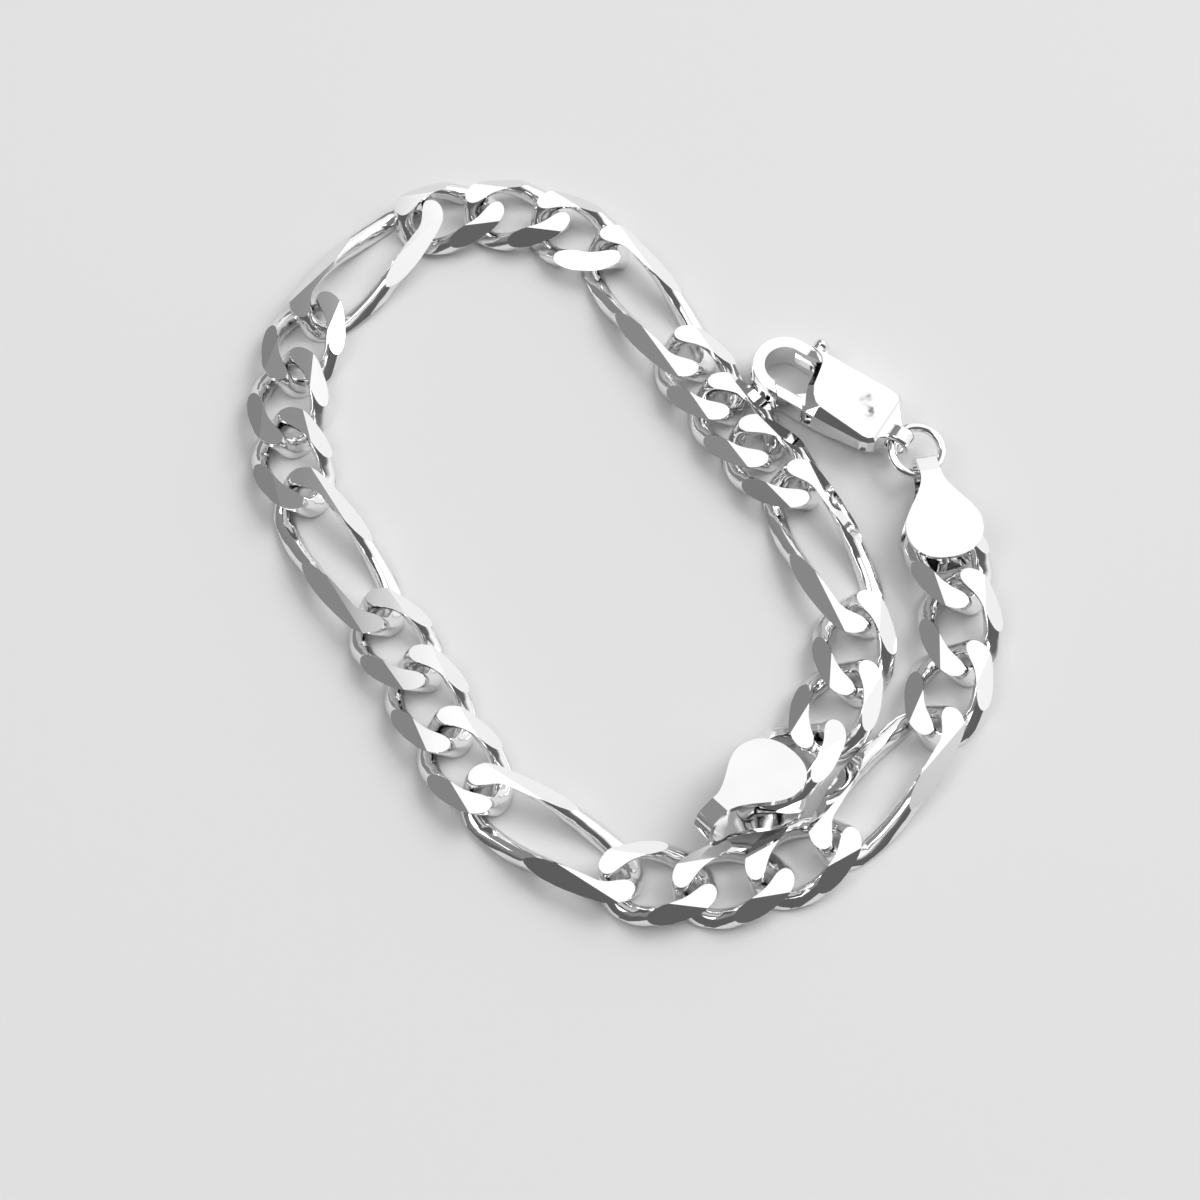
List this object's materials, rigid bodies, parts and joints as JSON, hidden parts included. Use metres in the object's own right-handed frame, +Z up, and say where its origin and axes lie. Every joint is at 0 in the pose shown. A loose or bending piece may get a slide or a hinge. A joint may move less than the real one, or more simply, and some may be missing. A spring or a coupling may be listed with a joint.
{
  "type": "link bracelet",
  "caption": "Flat-ground silver chain bracelet with short and long links in turn, folded end tags and a lobster clasp, lying unclasped.",
  "frame": {"origin": "on the surface under the middle of the whole bracelet's box", "axes": "+Z up off the surface it lies on, +Y away from the viewer and along the loop's longer way, +X to the viewer's right"},
  "size_m": [0.0548, 0.0597, 0.005],
  "materials": {
    "silver": "polished"
  },
  "bodies": {
    "bracelet": {"short_01": "silver", "short_02": "silver", "short_03": "silver", "long_01": "silver", "short_04": "silver", "short_05": "silver", "short_06": "silver", "long_02": "silver", "short_07": "silver", "short_08": "silver", "short_09": "silver", "long_03": "silver", "short_10": "silver", "short_11": "silver", "short_12": "silver", "long_04": "silver", "short_13": "silver", "short_14": "silver", "short_15": "silver", "long_05": "silver", "short_16": "silver", "short_17": "silver", "short_18": "silver", "long_06": "silver", "short_19": "silver", "short_20": "silver", "short_21": "silver", "end_tag_clasp": "silver", "end_tag_free": "silver", "jump_ring": "silver", "clasp_body": "silver", "clasp_pin": "silver"},
    "lever": {"clasp_lever": "silver"}
  },
  "joints": [
    {"name": "clasp_lever_hinge", "type": "hinge", "parent": "bracelet", "child": "lever", "pos_m": [0.01551, 0.01029, 0.0015], "axis": [0, 0, -1], "range_deg": [0, 22], "stiffness_Nm_per_rad": 0.003, "springref_deg": -11.46}
  ]
}
